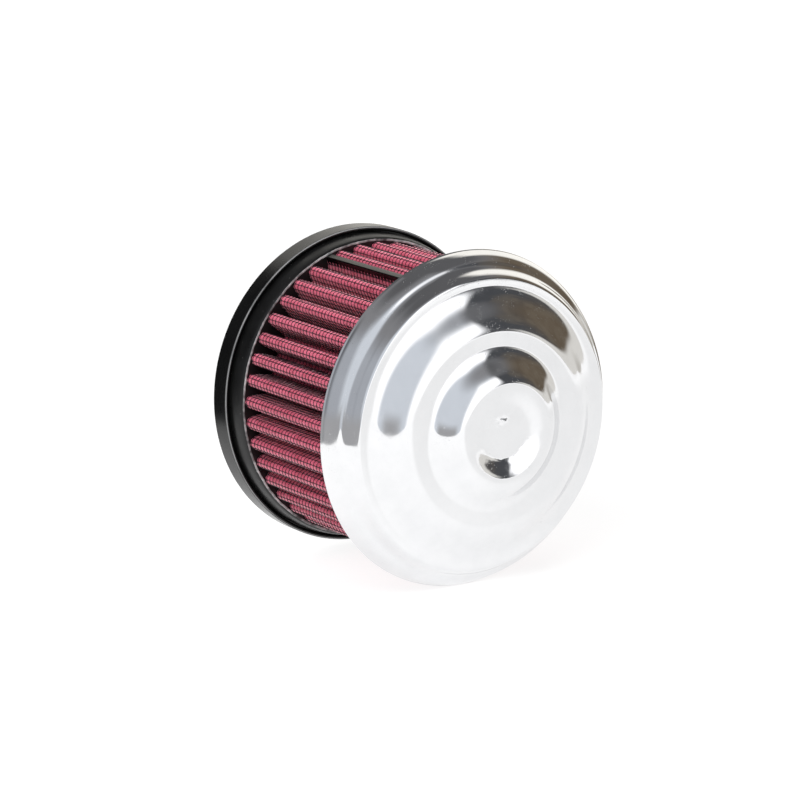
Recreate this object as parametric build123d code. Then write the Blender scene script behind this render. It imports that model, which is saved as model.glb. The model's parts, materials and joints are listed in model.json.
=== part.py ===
from build123d import *
import os
from math import atan2, cos, hypot, radians, sin

# A round motorcycle air filter: a back plate that bolts to the carburettor, a washable pleated gauze
# element, and a stepped cast cover that three long bolts hold from behind.
# All sizes are in millimetres. The intake axis is Y: the carburettor is towards +Y and the cover's
# nose towards -Y. +Z is up. The origin is the centre of the back plate's carburettor pad.

# Overall sizes
end_cap_radius = 58.8  # outer radius of the filter element
rim_gap = 68.0  # open length of pleats between the plate's lip and the cover's rear edge

# Back plate
pad_height = 6.0
pad_radius = 34.0
floor_thickness = 5.0
lip_height = 3.5
lip_width = 1.7
lip_chamfer = 0.7
lip_clearance = 0.6
plate_edge_radius = 0.4
inlet_radius = 21.5
inlet_flare = 3.5

# Carburettor screws and gasket
stud_circle_radius = 28.0
stud_radius = 2.5
stud_clearance = 0.25
stud_reach = 10.0  # how far a screw stands out behind the pad
neck_relief = 0.3  # from the thread's radius in to the plain shank's, inside the plate
stud_head_step = 2.3  # from the thread out to the flat head's edge
stud_head_height = 2.3
hex_key_radius = 1.7
hex_key_depth = 1.4
gasket_thickness = 0.8
gasket_margin = 0.5

# Filter element
end_cap_height = 9.85
end_cap_draft = 1.2  # how much the cap narrows towards its pleats
end_cap_straight = 4.2
groove_depth = 1.5
groove_margin = 0.4
tip_inset = 2.5  # from the cap's outer radius in to the pleat tips
pleat_depth = 11.1
pleat_count = 42
crown_half_width = 2.3
root_half_width = 0.5
mesh_thickness = 0.25
gauze_thickness = 0.9
layer_gap = 0.02
chamber_margin = 1.5  # from the innermost pleat face in to the cap's bore

# Seam of the pleated pack, where its two ends meet under a metal clip
seam_angle = 109.3
seam_step_before = 5.3
seam_step_after = 8.5
seam_half_width = 1.0
clip_thickness = 0.45
clip_clearance = 0.03
clip_depth = 5.5
clip_end_gap = 0.3

# Cover bolts, washers and spacer tubes
bolt_count = 3
bolt_radius = 2.5
bolt_clearance = 0.25  # round a bolt in the plate and in its spacer tube
bolt_head_step = 1.5  # from the shank out to the head's flats
bolt_head_height = 3.5
bolt_engagement = 10.0
thread_clearance = 0.05
tap_depth = 12.0
flat_washer_width = 2.35
flat_washer_thickness = 1.0
lock_washer_width = 1.65
lock_washer_thickness = 1.2
lock_washer_gap = 1.0
washer_clearance = 0.15
scallop_clearance = 1.5
spacer_wall = 1.25
spacer_clearance = 1.0

# Cover
cover_overhang = 4.7  # from the element's radius out to the cover's rim
cover_wall = 4.0
seat_depth = 4.2
seat_width = 11.6
cap_clearance = 0.5
rim_wall = 0.7
rim_edge_bevel = 0.3
shoulder_width = 9.3
shoulder_edge_radius = 1.2
ring_1_height = 12.8
ring_1_width = 1.8
ring_2_height = 20.7
ring_2_radius = 35.9
ring_2_width = 4.6
crest_height = 27.9
crest_radius = 18.1
dimple_radius = 8.9
dimple_depth = 2.2
button_height = 0.5
boss_wall = 3.0
sine_arm = 0.3642  # control arm, as a share of the span, that makes a cubic follow half a cosine

# Places along the intake axis, from the carburettor pad forwards
plate_rear_y = -pad_height
floor_y = plate_rear_y - floor_thickness
lip_y = floor_y - lip_height
rear_cap_face_y = floor_y - end_cap_height
cover_rear_y = lip_y - rim_gap
seat_y = cover_rear_y - seat_depth
front_cap_face_y = seat_y + end_cap_height

# Radii that follow from the element
plate_radius = end_cap_radius + lip_clearance + lip_width
cover_radius = end_cap_radius + cover_overhang
tip_radius = end_cap_radius - tip_inset
root_radius = tip_radius - pleat_depth
pack_thickness = 2 * mesh_thickness + gauze_thickness + 2 * layer_gap
chamber_radius = root_radius - pack_thickness - chamber_margin
bolt_hole_radius = bolt_radius + bolt_clearance
spacer_radius = bolt_hole_radius + spacer_wall
bolt_circle_radius = chamber_radius - spacer_clearance - spacer_radius

# Sizes that follow from the screws and bolts
stud_hole_radius = stud_radius + stud_clearance
stud_head_radius = stud_radius + stud_head_step
washer_bore_radius = bolt_radius + washer_clearance
flat_washer_radius = washer_bore_radius + flat_washer_width
lock_washer_radius = washer_bore_radius + lock_washer_width
bolt_head_across = 2 * (bolt_radius + bolt_head_step)
boss_radius = bolt_radius + boss_wall

stud_angles = [30 + 360 / 3 * i for i in range(3)]
bolt_angles = [90 + 360 / bolt_count * i for i in range(bolt_count)]


def lathe(*edges):
    """A solid turned about the intake axis from an outline of (radius, y) edges."""
    return revolve(make_face(edges), axis=Axis.Y)


def turned(points):
    """A solid turned about the intake axis from a closed outline of (radius, y) corners."""
    return lathe(Polyline(*points, close=True))


def rod(radius, front_y, rear_y, centre=(0, 0)):
    """A cylinder along the intake axis, centred on an (x, z) point."""
    middle = Pos(centre[0], (front_y + rear_y) / 2, centre[1])
    return middle * Rot(X=90) * Cylinder(radius, abs(rear_y - front_y))


def hex_rod(across, front_y, rear_y, centre):
    """A hexagonal prism along the intake axis."""
    outline = RegularPolygon(across / 2, 6, major_radius=False)
    prism = extrude(Plane.XZ * outline, amount=abs(rear_y - front_y))
    return Pos(centre[0], max(front_y, rear_y), centre[1]) * prism


def on_circle(radius, angle):
    """The (x, z) point at an angle from +X towards +Z."""
    return radius * cos(radians(angle)), radius * sin(radians(angle))


def wave(start, end):
    """Half a cosine wave, level at both ends."""
    arm = sine_arm * (end[0] - start[0])
    return Bezier(start, (start[0] + arm, start[1]), (end[0] - arm, end[1]), end)


def cover_outline():
    """The filled half section of the cover: a cone up from the rim, two flat rings and a dished hub."""
    ring_1_outer = cover_radius - shoulder_width
    levels = {
        "dimple": cover_rear_y - crest_height + dimple_depth,
        "button": cover_rear_y - crest_height + dimple_depth - button_height,
        "crest": cover_rear_y - crest_height,
        "ring_2": cover_rear_y - ring_2_height,
        "ring_1": cover_rear_y - ring_1_height,
    }
    rim_y = cover_rear_y - rim_wall
    dimple_edge = (dimple_radius, levels["dimple"])
    crest = (crest_radius, levels["crest"])
    ring_2_in = (ring_2_radius - ring_2_width, levels["ring_2"])
    ring_2_out = (ring_2_radius, levels["ring_2"])
    ring_1_in = (ring_1_outer - ring_1_width, levels["ring_1"])
    ring_1_out = (ring_1_outer, levels["ring_1"])
    rim_corner = (cover_radius, cover_rear_y - rim_edge_bevel)
    rear_edge = (cover_radius - rim_edge_bevel, cover_rear_y)
    face = make_face(
        [
            wave((0, levels["button"]), dimple_edge),
            wave(dimple_edge, crest),
            wave(crest, ring_2_in),
            Line(ring_2_in, ring_2_out),
            wave(ring_2_out, ring_1_in),
            Line(ring_1_in, ring_1_out),
            Line(ring_1_out, (cover_radius, rim_y)),
            Line((cover_radius, rim_y), rim_corner),
            Line(rim_corner, rear_edge),
            Line(rear_edge, (0, cover_rear_y)),
            Line((0, cover_rear_y), (0, levels["button"])),
        ]
    )
    return fillet(face.vertices().sort_by_distance(ring_1_out)[0], shoulder_edge_radius)


def make_front_cover():
    """The cast cover, hollow behind its steps, with a seat for the element and three tapped bosses."""
    outline = cover_outline()
    solid = revolve(outline, axis=Axis.Y)
    cavity_radius = end_cap_radius - seat_width
    shifted = Pos(0, cover_wall, 0) * outline
    inside = Rectangle(cavity_radius, 2 * crest_height, align=(Align.MIN, Align.MAX))
    cavity = revolve(shifted & (Pos(0, cover_rear_y + cover_wall, 0) * inside), axis=Axis.Y)
    seat = rod(end_cap_radius + cap_clearance, seat_y, cover_rear_y + cover_wall)
    shell = solid - cavity - seat
    # Each boss runs from the cavity's roof back to the plane of the seat.
    for angle in bolt_angles:
        centre = on_circle(bolt_circle_radius, angle)
        boss = rod(boss_radius, cover_rear_y - ring_2_height, seat_y, centre)
        shell += boss & solid
    for angle in bolt_angles:
        centre = on_circle(bolt_circle_radius, angle)
        shell -= rod(bolt_radius + thread_clearance, seat_y - tap_depth, seat_y, centre)
    return shell


def make_back_plate():
    """The dished plate: a carburettor pad behind, a flared inlet, and a lip round the element."""
    inner = end_cap_radius + lip_clearance
    outline = Polyline(
        (inlet_radius, 0),
        (pad_radius, 0),
        (pad_radius, plate_rear_y),
        (plate_radius - plate_edge_radius, plate_rear_y),
        (plate_radius, plate_rear_y - plate_edge_radius),
        (plate_radius, lip_y + plate_edge_radius),
        (plate_radius - plate_edge_radius, lip_y),
        (inner + lip_chamfer, lip_y),
        (inner, lip_y + lip_chamfer),
        (inner, floor_y),
        (inlet_radius + inlet_flare, floor_y),
    )
    flare = RadiusArc(
        (inlet_radius + inlet_flare, floor_y), (inlet_radius, floor_y + inlet_flare), inlet_flare
    )
    bore = Line((inlet_radius, floor_y + inlet_flare), (inlet_radius, 0))
    plate = lathe(outline, flare, bore)
    for angle in bolt_angles:
        centre = on_circle(bolt_circle_radius, angle)
        plate -= rod(bolt_hole_radius, floor_y, plate_rear_y, centre)
        plate -= rod(flat_washer_radius + scallop_clearance, plate_rear_y, 0, centre)
    for angle in stud_angles:
        centre = on_circle(stud_circle_radius, angle)
        plate -= rod(stud_hole_radius, floor_y, 0, centre)
        plate -= countersink(centre, stud_hole_radius - stud_radius)
    return plate


def countersink(centre, clearance):
    """The cone of a flat-headed screw, flush with the plate's floor."""
    cone = turned(
        [
            (0, floor_y),
            (stud_head_radius + clearance, floor_y),
            (stud_radius + clearance, floor_y + stud_head_height),
            (0, floor_y + stud_head_height),
        ]
    )
    return Pos(centre[0], 0, centre[1]) * cone


def make_carburettor_screws():
    """Three flat-headed socket screws, whose ends stand out of the pad as studs."""
    screws = []
    for angle in stud_angles:
        centre = on_circle(stud_circle_radius, angle)
        shank = rod(stud_radius - neck_relief, floor_y, gasket_thickness, centre)
        thread = rod(stud_radius, gasket_thickness, stud_reach, centre)
        screw = countersink(centre, 0) + shank + thread
        screws.append(screw - hex_rod(2 * hex_key_radius, floor_y, floor_y + hex_key_depth, centre))
    return screws


def make_gasket():
    """The paper gasket on the carburettor pad."""
    ring = rod(pad_radius - gasket_margin, 0, gasket_thickness)
    ring -= rod(inlet_radius + gasket_margin, 0, gasket_thickness)
    for angle in stud_angles:
        centre = on_circle(stud_circle_radius, angle)
        ring -= rod(stud_hole_radius, 0, gasket_thickness, centre)
    for angle in bolt_angles:
        centre = on_circle(bolt_circle_radius, angle)
        cut = flat_washer_radius + scallop_clearance + gasket_margin
        ring -= rod(cut, 0, gasket_thickness, centre)
    return ring


def make_end_cap(back_y, face_y):
    """A moulded end ring, drafted towards its pleat groove, which opens at face_y."""
    way = 1 if face_y > back_y else -1
    straight_y = back_y + way * end_cap_straight
    rim_radius = end_cap_radius - end_cap_draft
    groove_floor_y = face_y - way * groove_depth
    groove_outer = tip_radius + groove_margin
    groove_inner = root_radius - pack_thickness - groove_margin
    side = Spline(
        (end_cap_radius, straight_y),
        (rim_radius, face_y),
        tangents=[(0, way), (-1, 0.4 * way)],
    )
    outline = Polyline(
        (rim_radius, face_y),
        (groove_outer, face_y),
        (groove_outer, groove_floor_y),
        (groove_inner, groove_floor_y),
        (groove_inner, face_y),
        (chamber_radius, face_y),
        (chamber_radius, back_y),
        (end_cap_radius, back_y),
        (end_cap_radius, straight_y),
    )
    return lathe(side, outline)


def pleat_angles():
    """The tip angle of every pleat: the seam first, then the rest, evenly, round to just before it."""
    first = seam_angle + seam_step_after
    last = seam_angle + 360 - seam_step_before
    count = pleat_count - 1
    return [seam_angle] + [first + (last - first) * i / (count - 1) for i in range(count)]


def pleat_loop(with_seam):
    """The pack's outer outline as (x, z) corners: a flat crown and a flat root for each pleat."""
    angles = pleat_angles()
    corners = []
    for i, angle in enumerate(angles):
        half = seam_half_width if i == 0 else crown_half_width
        following = angles[(i + 1) % pleat_count] + (360 if i == pleat_count - 1 else 0)
        if i > 0 or with_seam:
            corners += flat(tip_radius, angle, half)
        corners += flat(root_radius, (angle + following) / 2, root_half_width)
    return corners


def flat(radius, angle, half_width):
    """The two ends of a short flat, centred at an angle and square to its radius."""
    x, z = on_circle(radius, angle)
    along_x, along_z = on_circle(half_width, angle + 90)
    return [(x - along_x, z - along_z), (x + along_x, z + along_z)]


def inset(corners, depth):
    """The outline moved inwards by a depth, square to each of its sides."""
    moved = []
    for i, (x, z) in enumerate(corners):
        before, after = corners[i - 1], corners[(i + 1) % len(corners)]
        angle_in = atan2(z - before[1], x - before[0])
        angle_out = atan2(after[1] - z, after[0] - x)
        half_turn = (angle_out - angle_in) / 2
        middle = angle_in + half_turn
        reach = depth / cos(half_turn)
        moved.append((x - sin(middle) * reach, z + cos(middle) * reach))
    return moved


def wall_between(outer, inner, front_y, rear_y):
    """A pleated wall between two (x, z) outlines."""
    outlines = [Wire.make_polygon([(x, rear_y, z) for x, z in c], close=True) for c in (outer, inner)]
    return extrude(Face(outlines[0], [outlines[1]]), amount=rear_y - front_y, dir=(0, -1, 0))


def make_pleated_pack():
    """Wire mesh, cotton gauze and wire mesh, pleated together; at the seam the gauze is one fin."""
    ends = (front_cap_face_y - groove_depth, rear_cap_face_y + groove_depth)
    seamed, plain = pleat_loop(True), pleat_loop(False)
    gauze_outer = mesh_thickness + layer_gap
    gauze_inner = gauze_outer + gauze_thickness
    mesh_outer = gauze_inner + layer_gap
    return {
        "outer_wire_mesh": wall_between(seamed, inset(seamed, mesh_thickness), *ends),
        "cotton_gauze": wall_between(inset(seamed, gauze_outer), inset(plain, gauze_inner), *ends),
        "inner_wire_mesh": wall_between(
            inset(plain, mesh_outer), inset(plain, mesh_outer + mesh_thickness), *ends
        ),
    }


def towards(start, end, distance):
    """The point a distance along the way from one (x, z) point to another."""
    share = distance / hypot(end[0] - start[0], end[1] - start[1])
    return start[0] + share * (end[0] - start[0]), start[1] + share * (end[1] - start[1])


def clip_outline(stand_off):
    """The seam fin's crown and upper flanks, moved outwards: leg end, two crown corners, leg end."""
    moved = inset(pleat_loop(True), -stand_off)
    root_before, crown_a, crown_b, root_after = moved[-1], moved[0], moved[1], moved[2]
    leg = clip_depth + stand_off
    return [towards(crown_a, root_before, leg), crown_a, crown_b, towards(crown_b, root_after, leg)]


def make_seam_clip():
    """The crimped channel over the seam, with two legs that lie along the fin's flanks."""
    inner = clip_outline(clip_clearance)
    outer = clip_outline(clip_clearance + clip_thickness)
    front_y = front_cap_face_y + clip_end_gap
    rear_y = rear_cap_face_y - clip_end_gap
    section = Wire.make_polygon([(x, rear_y, z) for x, z in outer + inner[::-1]], close=True)
    return extrude(Face(section), amount=rear_y - front_y, dir=(0, -1, 0))


def make_cover_bolt(angle):
    """One long hexagon bolt, from behind the plate into the cover's boss."""
    centre = on_circle(bolt_circle_radius, angle)
    head_y = plate_rear_y + flat_washer_thickness + lock_washer_thickness
    head = hex_rod(bolt_head_across, head_y, head_y + bolt_head_height, centre)
    head = chamfer(head.faces().sort_by(Axis.Y)[-1].edges(), 0.4)
    return head + rod(bolt_radius, seat_y - bolt_engagement, head_y, centre)


def washer(radius, front_y, thickness, angle):
    """A plain ring round one cover bolt."""
    centre = on_circle(bolt_circle_radius, angle)
    ring = rod(radius, front_y, front_y + thickness, centre)
    return ring - rod(washer_bore_radius, front_y, front_y + thickness, centre)


def make_lock_washer(angle):
    """A split spring washer under a bolt's head."""
    front_y = plate_rear_y + flat_washer_thickness
    ring = washer(lock_washer_radius, front_y, lock_washer_thickness, angle)
    reach = bolt_circle_radius + lock_washer_radius / 2
    x, z = on_circle(reach, angle)
    slot = Box(lock_washer_radius, lock_washer_thickness, lock_washer_gap)
    middle_y = front_y + lock_washer_thickness / 2
    return ring - Pos(x, middle_y, z) * Rot(Y=-angle) * slot


def make_spacer_tube(angle):
    """A tube round one cover bolt, which sets the distance from the plate to the cover."""
    centre = on_circle(bolt_circle_radius, angle)
    return rod(spacer_radius, seat_y, floor_y, centre) - rod(bolt_hole_radius, seat_y, floor_y, centre)


def write(name, pieces):
    """One STEP file for each node, holding one solid or a group of them."""
    solids = pieces if isinstance(pieces, list) else [pieces]
    flat_list = [s for piece in solids for s in piece.solids()]
    export_step(Compound(children=flat_list) if len(flat_list) > 1 else flat_list[0], f"parts/{name}.step")


os.makedirs("parts", exist_ok=True)
write("front_cover", make_front_cover())
write("back_plate", make_back_plate())
write("carburettor_gasket", make_gasket())
write("carburettor_screws", make_carburettor_screws())
write("rear_end_cap", make_end_cap(floor_y, rear_cap_face_y))
write("front_end_cap", make_end_cap(seat_y, front_cap_face_y))
for node, layer in make_pleated_pack().items():
    write(node, layer)
write("seam_clip", make_seam_clip())
for number, bolt_angle in enumerate(bolt_angles, 1):
    write(f"cover_bolt_{number}", make_cover_bolt(bolt_angle))
    write(f"lock_washer_{number}", make_lock_washer(bolt_angle))
    write(
        f"flat_washer_{number}",
        washer(flat_washer_radius, plate_rear_y, flat_washer_thickness, bolt_angle),
    )
    write(f"spacer_tube_{number}", make_spacer_tube(bolt_angle))
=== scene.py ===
import json
from math import cos, pi, radians, sin

import bmesh
import bpy
import numpy as np
from mathutils import Matrix, Vector


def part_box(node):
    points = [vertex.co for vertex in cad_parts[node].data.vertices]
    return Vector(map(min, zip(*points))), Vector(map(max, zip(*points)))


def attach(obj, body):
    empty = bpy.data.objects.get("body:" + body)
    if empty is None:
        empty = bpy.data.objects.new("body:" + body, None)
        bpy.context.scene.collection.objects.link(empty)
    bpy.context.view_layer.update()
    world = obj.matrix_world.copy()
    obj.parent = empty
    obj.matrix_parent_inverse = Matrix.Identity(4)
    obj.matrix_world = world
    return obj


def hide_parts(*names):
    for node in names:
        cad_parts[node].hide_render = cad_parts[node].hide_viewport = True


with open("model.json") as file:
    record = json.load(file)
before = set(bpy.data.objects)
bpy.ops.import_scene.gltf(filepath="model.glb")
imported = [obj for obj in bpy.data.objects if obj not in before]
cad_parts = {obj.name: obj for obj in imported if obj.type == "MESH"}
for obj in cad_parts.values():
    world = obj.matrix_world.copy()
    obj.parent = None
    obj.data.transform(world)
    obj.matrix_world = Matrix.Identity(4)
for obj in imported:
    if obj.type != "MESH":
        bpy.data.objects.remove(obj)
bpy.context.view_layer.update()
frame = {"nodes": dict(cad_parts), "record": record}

# A round motorcycle air filter. Everything is in metres, in the CAD model's frame: the intake axis is
# Y, the carburettor is towards +Y, the cover's nose is towards -Y, and +Z is up.

mm = 0.001

# Places and sizes that the frame gives
_, cover_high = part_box("front_cover")
plate_low, plate_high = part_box("back_plate")
rear_cap_low, rear_cap_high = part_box("rear_end_cap")
front_cap_low, front_cap_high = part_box("front_end_cap")
gauze_low, gauze_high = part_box("cotton_gauze")
clip_low, clip_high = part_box("seam_clip")
cover_radius = cover_high.x
cover_rear_y = cover_high.y
plate_radius = plate_high.x
lip_y = plate_low.y
cap_radius = rear_cap_high.x

# Cover: radii from the intake axis, and heights in front of the cover's rear face
cover_wall = 4.0 * mm
seat_radius, seat_depth = 59.3 * mm, 4.2 * mm
cavity_radius = 47.2 * mm
ring_1_outer, ring_1_inner, ring_1_height = 54.2 * mm, 52.4 * mm, 12.8 * mm
ring_2_outer, ring_2_inner, ring_2_height = 35.9 * mm, 31.3 * mm, 20.7 * mm
crest_radius, crest_height = 18.1 * mm, 27.9 * mm
dimple_radius, dimple_height, button_height = 8.9 * mm, 25.7 * mm, 0.5 * mm
rim_radius, rim_height = 63.2 * mm, 0.7 * mm
shoulder = [
    (ring_1_outer, ring_1_height),
    (54.7 * mm, 12.7 * mm),
    (55.4 * mm, 12.1 * mm),
    (56.3 * mm, 10.6 * mm),
    (57.2 * mm, 8.7 * mm),
    (58.3 * mm, 7.2 * mm),
    (60.0 * mm, 6.0 * mm),
    (61.5 * mm, 4.3 * mm),
    (62.6 * mm, 2.3 * mm),
    (rim_radius, rim_height),
]
rim_rounding = [(63.42 * mm, 0.5 * mm), (cover_radius, 0.3 * mm), (rim_radius, 0)]
boss_radius, boss_height, boss_chamfer = 5.5 * mm, 17.0 * mm, 0.3 * mm
tapped_radius = 2.55 * mm
bolt_circle_radius = 37.26 * mm
bolt_angles = [90, 210, 330]

# Pleated pack
pleat_count = 42
tip_radius = 56.3 * mm
root_radius = 45.2 * mm
crown_half_width = 2.3 * mm
root_rounding = 0.7 * mm
seam_half_width = 1.0 * mm
seam_angle, seam_step_before, seam_step_after = 109.3, 5.3, 8.5
cells_per_pleat, cells_along = 12, 28
wire_radius = 0.165 * mm
weave_height = 0.09 * mm
inner_wires_at_seam = [3, 11, 19]
gauze_thickness = 0.9 * mm
gauze_sink, gauze_bulge = 0.18 * mm, 0.40 * mm
swell_between_two_wires = 0.35

# End rings. The two lists are (distance outside the face's edge, distance in front of the face), in mm.
cap_hole_radius = root_radius - 2.94 * mm
cap_hole_chamfer = 0.4 * mm
cap_face_radius = cap_radius - 1.2 * mm
cap_flat_from, cap_flat_to = cap_hole_radius + 2 * mm, cap_face_radius - 1.6 * mm
flash_line = [(-1.15, 0), (-0.95, 0.20), (-0.30, 0.25), (-0.22, 0.02)]
cap_corner = [(-0.12, -0.05), (0.15, -0.3), (0.4, -0.9), (0.72, -2.2), (1.0, -3.8)]
cap_side_from, cap_back_chamfer = 5.2 * mm, 0.5 * mm
flash_raggedness = 0.16 * mm
flash_paleness, flash_variation = 0.55, 0.6
# The unevenness round a ring, as (number of waves, share)
ring_waves = [(7, 0.30), (19, 0.25), (43, 0.22), (97, 0.20), (181, 0.14)]

# Seam clip
clip_half_width, clip_rise, clip_depth = 1.36 * mm, 0.42 * mm, 5.6 * mm
clip_thickness = 0.42 * mm
clip_bend, clip_inner_bend = 0.42 * mm, 0.08 * mm
clip_leg_lean = 0.28 * mm


# Meshes


def new_object(name, points, faces, smooth=True):
    """A mesh object from an array of points and a list of faces."""
    mesh = bpy.data.meshes.new(name)
    mesh.from_pydata(np.reshape(points, (-1, 3)).tolist(), [], faces)
    mesh.polygons.foreach_set("use_smooth", [smooth] * len(mesh.polygons))
    mesh.update()
    made = bpy.data.objects.new(name, mesh)
    bpy.context.scene.collection.objects.link(made)
    return made


def close_and_sharpen(made, sharp):
    """Turns every face of a closed mesh outwards, and keeps its edges crisp from an angle on."""
    work = bmesh.new()
    work.from_mesh(made.data)
    bmesh.ops.recalc_face_normals(work, faces=work.faces)
    work.to_mesh(made.data)
    work.free()
    made.data.set_sharp_from_angle(angle=radians(sharp))


def grid_faces(rows, columns, wrap_rows=False, wrap_columns=False, start=0):
    """Quads over a grid of points, row by row."""
    i = np.arange(rows if wrap_rows else rows - 1)[:, None]
    j = np.arange(columns if wrap_columns else columns - 1)[None, :]
    below, beside = (i + 1) % rows, (j + 1) % columns
    corners = [i * columns + j, below * columns + j, below * columns + beside, i * columns + beside]
    shape = (i.shape[0], j.shape[1])
    return np.stack([np.broadcast_to(c, shape) for c in corners], -1).reshape(-1, 4) + start


def full_circle(count):
    """Evenly spaced angles round a circle."""
    return np.arange(count) * 2 * pi / count


def quarter_circle(count):
    """Angles from nothing to a right angle, with both ends."""
    return np.linspace(0, pi / 2, count)


def lathe(name, outline, turns=384, sharp=35):
    """A closed (radius, y) outline turned about the intake axis; its ends may lie on the axis."""
    outline = np.array(outline, float)
    on_axis = outline[0, 0] == 0
    angles = full_circle(turns)
    body = outline[1:-1] if on_axis else outline
    radius, y = body[:, :1], body[:, 1:]
    rings = [radius * np.cos(angles), np.repeat(y, turns, 1), radius * np.sin(angles)]
    points = np.stack(rings, -1).reshape(-1, 3)
    faces = grid_faces(len(body), turns, wrap_rows=not on_axis, wrap_columns=True).tolist()
    if on_axis:
        first, last = len(points), len(points) + 1
        points = np.vstack([points, [0, outline[0, 1], 0], [0, outline[-1, 1], 0]])
        base = (len(body) - 1) * turns
        for i in range(turns):
            j = (i + 1) % turns
            faces.append([first, i, j])
            faces.append([last, base + j, base + i])
    made = new_object(name, points, faces)
    close_and_sharpen(made, sharp)
    return made


# Cover


def wave(start, end, steps=26):
    """Half a cosine wave from one (radius, height) point to another, without its last point."""
    share = np.arange(steps) / steps
    radius = start[0] + (end[0] - start[0]) * share
    height = start[1] + (end[1] - start[1]) * (1 - np.cos(pi * share)) / 2
    return list(zip(radius, height))


def through(points, steps=7):
    """A smooth line through (radius, height) points, without its last point."""
    points = np.array(points, float)
    before = np.vstack([2 * points[0] - points[1], points[:-2]])
    after = np.vstack([points[2:], 2 * points[-1] - points[-2]])
    line = []
    for p0, p1, p2, p3 in zip(before, points[:-1], points[1:], after):
        for t in np.arange(steps) / steps:
            bend = (2 * p0 - 5 * p1 + 4 * p2 - p3) * t**2 + (3 * p1 - p0 - 3 * p2 + p3) * t**3
            line.append(tuple(0.5 * (2 * p1 + (p2 - p0) * t + bend)))
    return line


def cover_outline():
    """The cover's section, from the dimple round the rim and back through the hollow."""
    outside = wave((0, dimple_height + button_height), (dimple_radius, dimple_height))
    outside += wave((dimple_radius, dimple_height), (crest_radius, crest_height))
    outside += wave((crest_radius, crest_height), (ring_2_inner, ring_2_height))
    outside += [(ring_2_inner, ring_2_height)]
    outside += wave((ring_2_outer, ring_2_height), (ring_1_inner, ring_1_height))
    outside += [(ring_1_inner, ring_1_height)]
    outside += through(shoulder) + shoulder[-1:] + rim_rounding + [(seat_radius, 0)]
    inside = [(seat_radius, seat_depth), (cavity_radius, seat_depth)]
    roof = [(r, h - cover_wall) for r, h in outside if r < cavity_radius and h > ring_1_height]
    # Every third point is enough inside.
    inside += [(cavity_radius, roof[-1][1])] + roof[::-3]
    inside += [(0, roof[0][1])] if inside[-1][0] > 0 else []
    return [(r, cover_rear_y - h) for r, h in outside + inside]


def make_cover():
    """The polished cover, with its three tapped bosses inside."""
    cover = lathe("polished_cover", cover_outline())
    seat_y, roof_y = cover_rear_y - seat_depth, cover_rear_y - boss_height
    boss_outline = [
        (tapped_radius, seat_y + boss_chamfer),
        (tapped_radius + boss_chamfer, seat_y),
        (boss_radius - boss_chamfer, seat_y),
        (boss_radius, seat_y - boss_chamfer),
        (boss_radius, roof_y),
        (tapped_radius, roof_y),
    ]
    for angle in bolt_angles:
        boss = lathe(f"cover_boss_{angle}", boss_outline, turns=48)
        across = bolt_circle_radius * cos(radians(angle)), 0, bolt_circle_radius * sin(radians(angle))
        boss.data.transform(Matrix.Translation(across))
        boss.parent = cover
        paint(boss, "cast_aluminium")
    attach(cover, "front_cover")
    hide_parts("front_cover")
    paint(cover, "polished_aluminium")


# Pleated pack


def pleat_angles():
    """Each pleat's tip angle, the seam first."""
    first, last = seam_angle + seam_step_after, seam_angle + 360 - seam_step_before
    return [seam_angle] + list(np.linspace(first, last, pleat_count - 1))


def even(points, count):
    """A line divided into equal lengths, without its last point."""
    points = np.array(points)
    lengths = np.concatenate([[0], np.cumsum(np.linalg.norm(np.diff(points, axis=0), axis=1))])
    at = np.arange(count) / count * lengths[-1]
    return np.stack([np.interp(at, lengths, points[:, k]) for k in range(2)], -1)


def turned(points, angle):
    """(sideways, outward) points as (x, z) points; sideways is the way the angle grows."""
    turn = radians(angle)
    sideways, outward = points[:, 0], points[:, 1]
    x = outward * cos(turn) - sideways * sin(turn)
    z = outward * sin(turn) + sideways * cos(turn)
    return np.stack([x, z], -1)


def fold(half_width, right, left):
    """A pleat's (sideways, outward) points, from the root at one angle to the root at the other."""
    crown_y = tip_radius - wire_radius - half_width
    line = []
    for way, turn in ((-1, right), (1, left)):
        root_x, root_y = root_radius * sin(turn), root_radius * cos(turn)
        bends, crowns = quarter_circle(7), quarter_circle(10)
        side = [
            (root_x - way * root_rounding * sin(t), root_y + root_rounding * (1 - cos(t))) for t in bends
        ]
        side += [(way * half_width * cos(t), crown_y + half_width * sin(t)) for t in crowns]
        line += side if way == -1 else side[::-1][1:]
    return line


def pleat_path(with_seam):
    """The middle line of the outer wires as (x, z) points: each cell's middle, then its wire."""
    angles = pleat_angles()
    samples = []
    for i, angle in enumerate(angles):
        before = angles[i - 1] - (360 if i == 0 else 0)
        after = angles[(i + 1) % pleat_count] + (360 if i == pleat_count - 1 else 0)
        right, left = radians((before - angle) / 2), radians((after - angle) / 2)
        if i > 0 or with_seam:
            line = fold(crown_half_width if i > 0 else seam_half_width, right, left)
        else:
            bridge = np.linspace(right, left, 12)
            line = [(root_radius * sin(t), root_radius * cos(t)) for t in bridge]
        samples.append(turned(even(line, 2 * cells_per_pleat), angle))
    return np.concatenate(samples)


def along_and_out(path):
    """The unit tangent and the unit outward normal at each point of a closed path."""
    along = np.roll(path, -1, 0) - np.roll(path, 1, 0)
    along /= np.linalg.norm(along, axis=1)[:, None]
    return along, np.stack([along[:, 1], -along[:, 0]], -1)


def raised(path, height):
    """The path moved outwards by a height, which may differ from point to point."""
    return path + along_and_out(path)[1] * np.asarray(height)[..., None]


def to_space(flat, y):
    """(x, z) points and y values as points in space."""
    return np.stack([flat[..., 0], np.broadcast_to(y, flat.shape[:-1]), flat[..., 1]], -1)


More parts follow.
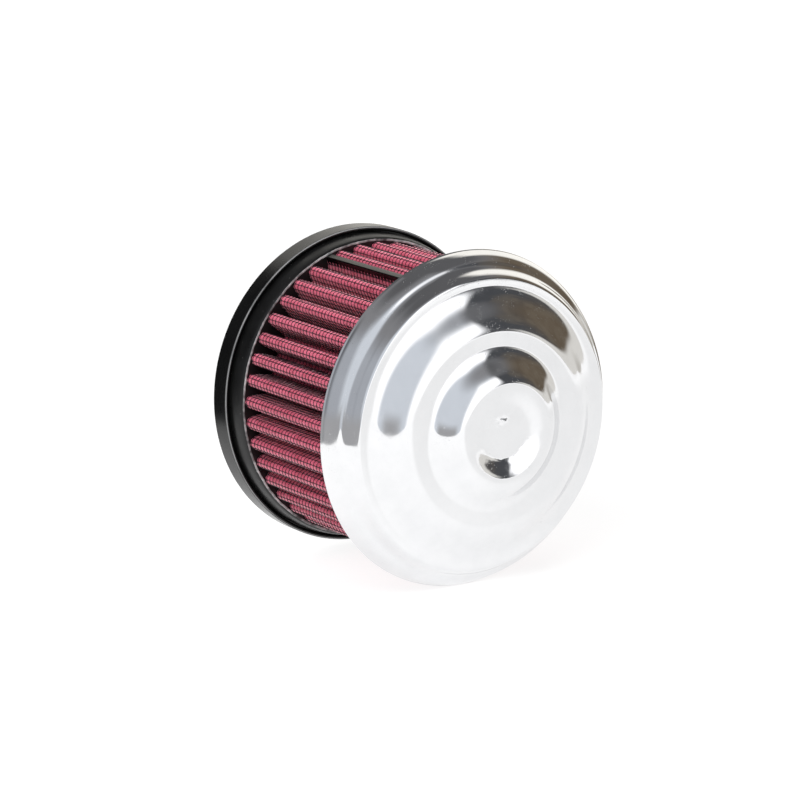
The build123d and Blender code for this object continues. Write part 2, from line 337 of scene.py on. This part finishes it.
def woven(count, crossing_at):
    """How far a wire lies from the middle of the weave at each point: over, between, under, between."""
    at = np.arange(count)
    over = np.where(at // 2 % 2 == 0, 1, -1)
    return np.where(at % 2 == crossing_at, over, 0) * weave_height


def wire_corners():
    """The four corners of a wire's section, as (along the mesh, out of the mesh)."""
    return wire_radius * np.array([(0, 1), (1, 0), (0, -1), (-1, 0)])


def over_first(index):
    """1 for a wire that starts over the weave, and -1 for its neighbour, which starts under it."""
    return 1 if index // 2 % 2 == 0 else -1


def axial_wires(name, path, chosen, rows_y):
    """The wires that run along the axis, over and under the ones that run round the pleats."""
    along, out = along_and_out(path)
    lift = woven(len(rows_y), crossing_at=0)
    corners = wire_corners()
    points = []
    for index in chosen:
        middle = path[index] + out[index] * (over_first(index) * lift)[:, None]
        ring = middle[:, None] + corners[None, :, :1] * along[index] + corners[None, :, 1:] * out[index]
        points.append(to_space(ring, rows_y[:, None]))
    one_wire = grid_faces(len(rows_y), 4, wrap_columns=True)
    starts = np.arange(len(chosen))[:, None] * len(rows_y) * 4
    faces = [one_wire + start for start in starts]
    faces += [starts + [0, 1, 2, 3], starts + (len(rows_y) - 1) * 4 + [3, 2, 1, 0]]
    return new_object(name, points, np.concatenate(faces).tolist())


def round_wires(name, path, chosen, rows_y):
    """The wires that run round the pleats, under and over the ones that run along the axis."""
    _, out = along_and_out(path)
    lift = -woven(len(path), crossing_at=1)
    corners = wire_corners()
    points = []
    for row in chosen:
        middle = path + out * (over_first(row) * lift)[:, None]
        ring = middle[:, None] + corners[None, :, 1:] * out[:, None]
        points.append(to_space(ring, rows_y[row] + corners[None, :, 0]))
    one_wire = grid_faces(len(path), 4, wrap_rows=True, wrap_columns=True)
    faces = [one_wire + i * len(path) * 4 for i in range(len(chosen))]
    return new_object(name, points, np.concatenate(faces).tolist())


def make_gauze(outer, inner, rows_y):
    """The gauze: it swells out through the middle of each opening of the wire mesh."""
    rows, columns = len(rows_y), len(outer)
    # Odd rows and even columns lie in the middle of an opening; the others lie under a wire.
    clear_of_wires = (np.arange(rows) % 2 == 1)[:, None] + 1 * (np.arange(columns) % 2 == 0)[None, :]
    swell = np.array([0, swell_between_two_wires, 1])[clear_of_wires]
    front = [to_space(raised(outer, gauze_bulge * swell[i] - gauze_sink), rows_y[i]) for i in range(rows)]
    back = [to_space(inner, rows_y[0]), to_space(inner, rows_y[-1])]
    count = rows * columns
    here = np.arange(columns)
    beside = (here + 1) % columns
    back_first, back_last, last = count, count + columns, count - columns
    faces = [
        grid_faces(rows, columns, wrap_columns=True),
        grid_faces(2, columns, wrap_columns=True, start=count)[:, ::-1],
        np.stack([here, beside, back_first + beside, back_first + here], -1),
        np.stack([last + beside, last + here, back_last + here, back_last + beside], -1),
    ]
    gauze = new_object("pleated_gauze", np.concatenate(front + back), np.concatenate(faces).tolist())
    lay = gauze.data.uv_layers.new(name="weave")
    vertex = np.zeros(len(gauze.data.loops), int)
    gauze.data.loops.foreach_get("vertex_index", vertex)
    on_front = vertex < count
    u = np.where(on_front, vertex % columns, 0) / 2.0
    v = np.where(on_front, vertex // columns, 0) / 2.0
    lay.data.foreach_set("uv", np.stack([u, v], -1).ravel())
    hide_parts("cotton_gauze")
    paint(gauze, "red_gauze")
    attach(gauze, "filter_element")


def make_mesh(side, wires):
    """Finishes the wires of the outer or the inner mesh."""
    for piece in wires:
        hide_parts(f"{side}_wire_mesh")
        paint(piece, "black_wire")
        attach(piece, "filter_element")


def make_pack():
    """The pleated gauze between its two woven wire meshes."""
    seamed, plain = pleat_path(True), pleat_path(False)
    rows_y = np.linspace(gauze_high.y, gauze_low.y, 2 * cells_along + 1)
    inner_wall = raised(plain, -gauze_sink - gauze_thickness)
    inner_wires = raised(plain, -gauze_sink - gauze_thickness - wire_radius - weave_height)
    wires_at = np.arange(1, len(seamed), 2)
    half = len(wires_at) // 2
    # The inner wall runs straight across the seam, so fewer wires fit there.
    inner_wires_at = np.concatenate([inner_wires_at_seam, wires_at[cells_per_pleat:]])
    rounds = np.arange(0, len(rows_y), 2)
    half_rounds = len(rounds) // 2
    make_gauze(seamed, inner_wall, rows_y)
    outer_mesh = [
        axial_wires("outer_wires_along_a", seamed, wires_at[:half], rows_y),
        axial_wires("outer_wires_along_b", seamed, wires_at[half:], rows_y),
        round_wires("outer_wires_round_a", seamed, rounds[:half_rounds], rows_y),
        round_wires("outer_wires_round_b", seamed, rounds[half_rounds:], rows_y),
    ]
    inner_mesh = [
        axial_wires("inner_wires_along", inner_wires, inner_wires_at, rows_y[::2]),
        round_wires("inner_wires_round_a", inner_wires, rounds[:half_rounds], rows_y),
        round_wires("inner_wires_round_b", inner_wires, rounds[half_rounds:], rows_y),
    ]
    make_mesh("outer", outer_mesh)
    make_mesh("inner", inner_mesh)


# End rings and clip


def uneven(angle, seed):
    """A smooth, repeatable unevenness round a ring, from about -1 to 1."""
    return sum(part * np.sin(k * angle + seed * k * 1.7 + seed) for k, part in ring_waves)


def make_end_cap(name, node, back_y, face_y, seed):
    """A moulded ring round the pleat ends, with a thin line of flash at the edge of its face."""
    way = 1 if face_y > back_y else -1

    def at_edge(places):
        return [(cap_face_radius + out * mm, face_y + way * ahead * mm) for out, ahead in places]

    outline = [(cap_hole_radius, back_y), (cap_hole_radius, face_y - way * cap_hole_chamfer)]
    outline += [(cap_hole_radius + cap_hole_chamfer, face_y)]
    outline += [(radius, face_y) for radius in np.linspace(cap_flat_from, cap_flat_to, 5)]
    flash_from = len(outline)
    flash_to = flash_from + len(flash_line)
    outline += at_edge(flash_line) + at_edge(cap_corner)
    outline += [
        (cap_radius, face_y - way * cap_side_from),
        (cap_radius, back_y + way * cap_back_chamfer),
        (cap_radius - cap_back_chamfer, back_y),
    ]
    turns = 720
    cap = lathe(name, outline, turns=turns, sharp=50)
    points = np.zeros(len(cap.data.vertices) * 3)
    cap.data.vertices.foreach_get("co", points)
    points = points.reshape(len(outline), turns, 3)
    angle = full_circle(turns)
    ragged = uneven(angle, seed)
    push = flash_raggedness * uneven(angle, seed + 1)
    points[flash_from:flash_to, :, 0] += push * np.cos(angle)
    points[flash_from:flash_to, :, 2] += push * np.sin(angle)
    points[flash_from + 1 : flash_to - 1, :, 1] += way * flash_raggedness * np.maximum(ragged, -0.6)
    cap.data.vertices.foreach_set("co", points.ravel())
    # The flash itself is pale, unevenly so, and the rest of the ring isn't.
    paleness = np.zeros((len(outline), turns))
    on_flash = np.clip(flash_paleness + flash_variation * ragged, 0.1, 1)
    paleness[flash_from + 1 : flash_to - 1] = on_flash
    cap.data.attributes.new("flash", "FLOAT", "POINT").data.foreach_set("value", paleness.ravel())
    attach(cap, "filter_element")
    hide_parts(node)
    paint(cap, "black_urethane")


def rounded_corner(edge, top, bend, count):
    """A quarter circle of (sideways, outward) points, from the top round to the edge."""
    centre_x, centre_y = edge - bend, top - bend
    return [(centre_x + bend * sin(t), centre_y + bend * cos(t)) for t in quarter_circle(count)]


def make_clip():
    """The crimped strip over the seam: a channel with rounded corners and two legs down the fin."""
    top = tip_radius + clip_rise
    foot = top - clip_depth
    inner_half_width = clip_half_width - clip_thickness
    outside = rounded_corner(clip_half_width, top, clip_bend, 8)
    outside += [(clip_half_width - clip_leg_lean, foot)]
    inside = rounded_corner(inner_half_width, top - clip_thickness, clip_inner_bend, 4)
    inside += [(inner_half_width - clip_leg_lean, foot)]
    # One leg from outside to inside, then the other from inside to outside
    leg = outside + inside[::-1]
    section = turned(np.array(leg + [(-x, y) for x, y in leg[::-1]]), seam_angle)
    rows_y = np.linspace(clip_low.y, clip_high.y, 15)
    count = len(section)
    last = (len(rows_y) - 1) * count
    faces = grid_faces(len(rows_y), count, wrap_columns=True).tolist()
    faces += [list(range(count)), list(range(last, last + count))[::-1]]
    clip = new_object("crimped_clip", [to_space(section, y) for y in rows_y], faces)
    close_and_sharpen(clip, sharp=40)
    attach(clip, "filter_element")
    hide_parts("seam_clip")
    paint(clip, "clip_steel")


# Materials


class Nodes:
    """Short names for building the nodes of a material, or of the world."""

    def __init__(self, owner, coordinates="Object"):
        owner.use_nodes = True
        self.owner = owner
        self.tree = owner.node_tree
        self.place = self.tree.nodes.new("ShaderNodeTexCoord").outputs[coordinates]

    def node(self, kind, **inputs):
        made = self.tree.nodes.new(kind)
        for name, value in inputs.items():
            self.give(made.inputs[name.replace("_", " ")], value)
        return made

    def give(self, socket, value):
        if isinstance(value, bpy.types.NodeSocket):
            self.tree.links.new(value, socket)
        else:
            socket.default_value = value

    def noise(self, scale, detail=3.0, roughness=0.5, where=None):
        made = self.node("ShaderNodeTexNoise", Scale=scale, Detail=detail, Roughness=roughness)
        self.give(made.inputs["Vector"], where or self.place)
        return made.outputs["Fac"]

    def cells(self, scale):
        made = self.node("ShaderNodeTexVoronoi", Scale=scale, Vector=self.place)
        return made.outputs["Distance"]

    def ramp(self, value, start, end, low=0.0, high=1.0):
        made = self.tree.nodes.new("ShaderNodeMapRange")
        made.interpolation_type = "SMOOTHSTEP"
        self.give(made.inputs["Value"], value)
        for name, number in (("From Min", start), ("From Max", end), ("To Min", low), ("To Max", high)):
            made.inputs[name].default_value = number
        return made.outputs["Result"]

    def maths(self, operation, a, b=0.0):
        made = self.tree.nodes.new("ShaderNodeMath")
        made.operation = operation
        self.give(made.inputs[0], a)
        self.give(made.inputs[1], b)
        return made.outputs[0]

    def all_of(self, *shares):
        """The product of two or more shares."""
        product = shares[0]
        for share in shares[1:]:
            product = self.maths("MULTIPLY", product, share)
        return product

    def mix(self, share, first, second):
        made = self.tree.nodes.new("ShaderNodeMix")
        made.data_type = "RGBA"
        self.give(made.inputs["Factor"], share)
        self.give(made.inputs["A"], first)
        self.give(made.inputs["B"], second)
        return made.outputs["Result"]

    def parts(self, vector=None):
        """The x, y and z of a vector, or of the place."""
        return self.node("ShaderNodeSeparateXYZ", Vector=vector or self.place).outputs

    def distance(self, first, second):
        """The distance from an axis, by the two coordinates across it (0 is x, 1 is y, 2 is z)."""
        parts = self.parts()
        squares = [self.maths("MULTIPLY", parts[k], parts[k]) for k in (first, second)]
        return self.maths("SQRT", self.maths("ADD", *squares))

    def bump(self, height, strength, distance, under=None):
        made = self.node("ShaderNodeBump", Height=height, Strength=strength, Distance=distance)
        if under:
            self.give(made.inputs["Normal"], under)
        return made.outputs["Normal"]

    def finish(self, **inputs):
        """Sets the material's surface, and returns the material."""
        shader = self.tree.nodes["Principled BSDF"]
        for name, value in inputs.items():
            self.give(shader.inputs[name.replace("_", " ")], value)
        return self.owner


def material(name):
    return Nodes(bpy.data.materials.new(name))


def grey(value, warmth=0.0):
    return (value * (1 + warmth), value, value * (1 - warmth), 1)


def polished_aluminium():
    n = material("polished_aluminium")
    pits = n.ramp(n.cells(1500.0), 0.10, 0.22)
    few = n.ramp(n.noise(260.0, 2.0), 0.64, 0.54)
    dents = n.maths("MAXIMUM", pits, few)
    ripple = n.noise(75.0, 2.0)
    cloud = n.noise(160.0, 5.0, 0.6)
    # The dimple is less even than the rest, because the wheel doesn't reach into it.
    in_dimple = n.ramp(n.distance(0, 2), crest_radius, dimple_radius)
    uneven_floor = n.all_of(n.noise(150.0, 2.0), in_dimple)
    normal = n.bump(ripple, 0.06, 0.0006)
    normal = n.bump(uneven_floor, 0.50, 0.0006, normal)
    normal = n.bump(dents, 0.50, 0.00006, normal)
    return n.finish(
        Base_Color=n.mix(cloud, (0.76, 0.765, 0.775, 1), (0.84, 0.842, 0.85, 1)),
        Metallic=1.0,
        Roughness=n.ramp(cloud, 0.3, 0.75, 0.05, 0.12),
        Normal=normal,
    )


def cast_aluminium():
    n = material("cast_aluminium")
    grain = n.noise(900.0, 4.0, 0.6)
    return n.finish(
        Base_Color=n.mix(grain, grey(0.45), grey(0.62)),
        Metallic=1.0,
        Roughness=n.ramp(grain, 0.3, 0.7, 0.42, 0.6),
        Normal=n.bump(grain, 0.4, 0.0002),
    )


def black_plate():
    n = material("semi_gloss_black")
    peel = n.noise(900.0)
    cloud = n.noise(60.0, 4.0)
    # A painted highlight: a pale line along the lip's front edge stands in for the reflection of the
    # lights on its rounded edge.
    near_lip = n.ramp(n.parts()[1], lip_y + 0.45 * mm, lip_y + 0.10 * mm)
    outer_edge = n.ramp(n.distance(0, 2), plate_radius - 0.65 * mm, plate_radius - 0.40 * mm)
    painted_lip_highlight = n.all_of(near_lip, outer_edge, n.ramp(cloud, 0.25, 0.6, 0.35, 1.0))
    return n.finish(
        Base_Color=n.mix(painted_lip_highlight, n.mix(cloud, grey(0.003), grey(0.007)), grey(0.26)),
        Roughness=n.ramp(cloud, 0.3, 0.7, 0.16, 0.28),
        Normal=n.bump(peel, 0.08, 0.0001),
        Specular_IOR_Level=0.3,
    )


def black_urethane():
    n = material("black_urethane")
    flash = n.tree.nodes.new("ShaderNodeAttribute")
    flash.attribute_name = "flash"
    dust = n.ramp(n.cells(420.0), 0.06, 0.035)
    cloud = n.noise(140.0, 5.0, 0.6)
    pale = n.maths("MAXIMUM", flash.outputs["Fac"], n.maths("MULTIPLY", dust, 0.3))
    return n.finish(
        Base_Color=n.mix(pale, n.mix(cloud, grey(0.003), grey(0.008)), grey(0.62)),
        Roughness=n.ramp(cloud, 0.3, 0.7, 0.26, 0.42),
        Normal=n.bump(n.noise(500.0), 0.22, 0.0002),
        Specular_IOR_Level=0.4,
    )


def red_gauze():
    n = material("red_gauze")
    weave = n.tree.nodes.new("ShaderNodeUVMap")
    weave.uv_map = "weave"
    across, along = n.parts(weave.outputs[0])[:2]
    threads_per_cell = 6
    turns = [n.maths("MULTIPLY", way, 2 * pi * threads_per_cell) for way in (across, along)]
    cloth = n.maths("ADD", *[n.maths("SINE", turn) for turn in turns])
    fibre = n.noise(1800.0, 4.0, 0.65)
    oil = n.noise(220.0)
    colour = n.mix(n.ramp(oil, 0.3, 0.7), (0.56, 0.036, 0.095, 1), (0.72, 0.085, 0.17, 1))
    colour = n.mix(n.ramp(fibre, 0.45, 0.8, 0.0, 0.4), colour, (0.90, 0.34, 0.45, 1))
    return n.finish(
        Base_Color=colour,
        Roughness=n.ramp(oil, 0.3, 0.7, 0.34, 0.55),
        Normal=n.bump(fibre, 0.35, 0.00015, n.bump(cloth, 0.30, 0.00008)),
        Sheen_Weight=0.5,
    )


def black_wire():
    n = material("black_wire")
    grain = n.noise(1200.0)
    return n.finish(
        Base_Color=n.mix(grain, (0.018, 0.010, 0.014, 1), (0.060, 0.032, 0.042, 1)),
        Roughness=n.ramp(grain, 0.3, 0.7, 0.3, 0.5),
        Normal=n.bump(grain, 0.15, 0.00005),
    )


def metal(name, dark, light, rough, grain_scale=(1, 1, 1)):
    """A metal with a drawn, turned or plated grain."""
    n = material(name)
    drawn = n.node("ShaderNodeMapping", Vector=n.place, Scale=grain_scale)
    grain = n.noise(900.0, 4.0, 0.6, drawn.outputs[0])
    cloud = n.noise(180.0)
    return n.finish(
        Base_Color=n.mix(n.maths("MULTIPLY", grain, cloud), dark, light),
        Metallic=1.0,
        Roughness=n.ramp(grain, 0.3, 0.7, rough * 0.75, rough * 1.25),
        Normal=n.bump(grain, 0.2, 0.00005),
    )


def clip_steel():
    return metal("clip_steel", grey(0.025, 0.05), grey(0.07, 0.05), 0.26, (1, 0.05, 1))


def zinc_steel():
    return metal("zinc_steel", grey(0.42), grey(0.66, 0.02), 0.28)


def machined_aluminium():
    return metal("machined_aluminium", grey(0.55), grey(0.78), 0.30, (0.05, 1, 0.05))


def gasket_paper():
    n = material("gasket_paper")
    fibre = n.noise(1400.0, 5.0, 0.7)
    return n.finish(
        Base_Color=n.mix(fibre, (0.10, 0.095, 0.085, 1), (0.24, 0.225, 0.20, 1)),
        Roughness=n.ramp(fibre, 0.3, 0.7, 0.75, 0.95),
        Normal=n.bump(fibre, 0.4, 0.0001),
    )


finishes = {
    "polished_aluminium": polished_aluminium(),
    "cast_aluminium": cast_aluminium(),
    "black_plate": black_plate(),
    "black_urethane": black_urethane(),
    "red_gauze": red_gauze(),
    "black_wire": black_wire(),
    "clip_steel": clip_steel(),
    "zinc_steel": zinc_steel(),
    "machined_aluminium": machined_aluminium(),
    "gasket_paper": gasket_paper(),
}


def paint(piece, finish):
    """Gives a piece its one material, in every slot."""
    if not piece.material_slots:
        piece.data.materials.append(finishes[finish])
    for place in piece.material_slots:
        place.material = finishes[finish]


def paint_cad_nodes():
    """Gives each CAD node the finish that the record names for it."""
    for part in frame["record"]["subparts"]:
        node = frame["nodes"][part["node"]]
        paint(node, part["material_slot"])


# Studio

view_azimuth, view_elevation = radians(-34.5), radians(13.4)
camera_distance = 1.4785
lens_length, sensor_width = 180, 36
target_right, target_down = 0.0234, 0.0068
table_left, table_right, table_front, table_back = 0.30, 1.50, 1.20, 0.12
floor_reach = 6.0
floor_drop = 0.3 * mm
lamp_target = Vector((0, -0.05, 0))
lamps = [
    ("key", (-1.0, -0.9, 1.1), 0.9, 14.0),
    ("top", (0.1, -0.1, 1.6), 1.4, 18.0),
    ("rear", (0.5, 1.3, 0.7), 0.9, 9.0),
]


def make_camera():
    """A long lens, level, looking down a little at the cover from its left."""
    level = cos(view_elevation)
    right = Vector((cos(view_azimuth), sin(view_azimuth), 0))
    forward = Vector((-sin(view_azimuth) * level, cos(view_azimuth) * level, -sin(view_elevation)))
    up = right.cross(forward)
    lens = bpy.data.cameras.new("camera")
    lens.lens, lens.sensor_width = lens_length, sensor_width
    lens.clip_start, lens.clip_end = 0.1, 100
    camera = bpy.data.objects.new("camera", lens)
    rim_centre = Vector((0, cover_rear_y, 0))
    camera.location = rim_centre - target_right * right + target_down * up - camera_distance * forward
    camera.rotation_euler = Matrix((right, up, -forward)).transposed().to_euler()
    bpy.context.scene.collection.objects.link(camera)
    bpy.context.scene.camera = camera


def make_floor():
    """A pale table under the cover's rim, and a pale floor around it that the polish doesn't mirror."""
    n = material("pale_floor")
    tone = n.noise(3.0, 2.0)
    # The table and floor glow. Their glow holds painted shade: it dims to the right of the cover (towards
    # +x), then brightens again far off.
    glow_with_painted_shade = n.mix(n.ramp(n.parts()[0], -0.02, 0.09), grey(0.90), grey(0.72))
    glow_with_painted_shade = n.mix(n.ramp(n.distance(0, 1), 0.5, 1.0), glow_with_painted_shade, grey(0.95))
    pale_floor = n.finish(
        Base_Color=n.mix(tone, grey(0.21), grey(0.23)),
        Roughness=0.9,
        Emission_Color=glow_with_painted_shade,
        Emission_Strength=1.0,
    )
    low = -cover_radius - floor_drop
    left, right, front, back = -table_left, table_right, -table_front, table_back
    corners = [(left, front, low), (right, front, low), (right, back, low), (left, back, low)]
    rim = [(x * floor_reach, y * floor_reach, low) for x, y in ((-1, -1), (1, -1), (1, 1), (-1, 1))]
    around = [(i, (i + 1) % 4, (i + 1) % 4 + 4, i + 4) for i in range(4)]
    table = new_object("table", corners, [(0, 1, 2, 3)], smooth=False)
    floor = new_object("floor", rim + corners, around, smooth=False)
    floor.visible_glossy = False
    for ground in (table, floor):
        ground.data.materials.append(pale_floor)


def make_world():
    """The studio as the polish mirrors it: a softbox in front, a pale wall behind, a dark room around."""
    world = bpy.data.worlds.new("studio")
    bpy.context.scene.world = world
    n = Nodes(world, "Generated")
    x, y, z = n.parts()[:3]
    azimuth = n.maths("MULTIPLY", n.maths("ARCTAN2", x, n.maths("MULTIPLY", y, -1.0)), 180 / pi)
    elevation = n.maths("MULTIPLY", n.maths("ARCSINE", z), 180 / pi)

    def round_to(start, end):
        """Nothing before one azimuth and everything beyond another, in degrees from the cover's axis."""
        return n.ramp(azimuth, start, end)

    def up_to(start, end):
        """Nothing before one elevation and everything beyond another, in degrees."""
        return n.ramp(elevation, start, end)

    # Left of the softbox the room is pale, then grey, then dark; right of it, dark and then brown.
    room = n.mix(round_to(20.0, 34.0), (0.72, 0.76, 0.82, 1), (0.075, 0.078, 0.085, 1))
    room = n.mix(round_to(45.0, 85.0), room, (0.135, 0.105, 0.075, 1))
    room = n.mix(round_to(-42.0, -66.0), room, (0.44, 0.46, 0.50, 1))
    room = n.mix(round_to(-92.0, -122.0), room, (0.030, 0.031, 0.034, 1))
    smudge = n.ramp(n.noise(5.0, 3.0, 0.6), 0.42, 0.62, 0.0, 0.4)
    room = n.mix(n.all_of(smudge, round_to(38.0, 60.0)), room, (0.20, 0.17, 0.13, 1))
    # The ceiling is grey, and darker on the right.
    room = n.mix(up_to(36.0, 58.0), room, (0.26, 0.26, 0.27, 1))
    overhead = n.maths("MAXIMUM", up_to(58.0, 80.0), round_to(20.0, 40.0))
    room = n.mix(n.all_of(overhead, up_to(42.0, 56.0)), room, (0.12, 0.12, 0.125, 1))
    wall = n.all_of(round_to(104.0, 118.0), up_to(62.0, 50.0), up_to(-8.0, 2.0))
    room = n.mix(wall, room, (1.15, 1.12, 1.05, 1))
    # A lit strip runs along the foot of the dark side, and grey shows beyond the table's left edge.
    strip = n.all_of(round_to(36.0, 44.0), round_to(112.0, 96.0), up_to(7.0, 3.5))
    room = n.mix(strip, room, (0.80, 0.78, 0.74, 1))
    foot = n.all_of(round_to(-26.0, -40.0), round_to(-120.0, -100.0), up_to(6.0, -4.0))
    room = n.mix(foot, room, (0.42, 0.42, 0.43, 1))
    # The softbox leans: its left edge moves right towards the top.
    leaning_azimuth = n.maths("SUBTRACT", azimuth, n.maths("MULTIPLY", elevation, 0.35))
    left_edge = n.ramp(leaning_azimuth, -24.0, -10.0)
    softbox = n.all_of(left_edge, round_to(34.0, 28.5), up_to(50.0, 37.0))
    studio = n.mix(softbox, room, (1.45, 1.45, 1.47, 1))
    background = n.tree.nodes["Background"]
    n.give(background.inputs["Color"], studio)
    n.give(background.inputs["Strength"], 1.0)


def make_lights():
    """Soft lamps that light the object but don't show in its polish."""
    for name, place, size, power in lamps:
        lamp = bpy.data.lights.new(name, "AREA")
        lamp.shape, lamp.size, lamp.energy = "DISK", size, power
        made = bpy.data.objects.new(name, lamp)
        made.location = place
        made.rotation_euler = (lamp_target - Vector(place)).to_track_quat("-Z", "Y").to_euler()
        made.visible_glossy = False
        bpy.context.scene.collection.objects.link(made)


scene = bpy.context.scene
scene.view_settings.view_transform = "Standard"
scene.view_settings.look = "None"

make_camera()
make_world()
make_lights()
make_floor()
paint_cad_nodes()
make_cover()
make_pack()
make_end_cap("rear_ring", "rear_end_cap", rear_cap_high.y, rear_cap_low.y, 1)
make_end_cap("front_ring", "front_end_cap", front_cap_low.y, front_cap_high.y, 4)
make_clip()
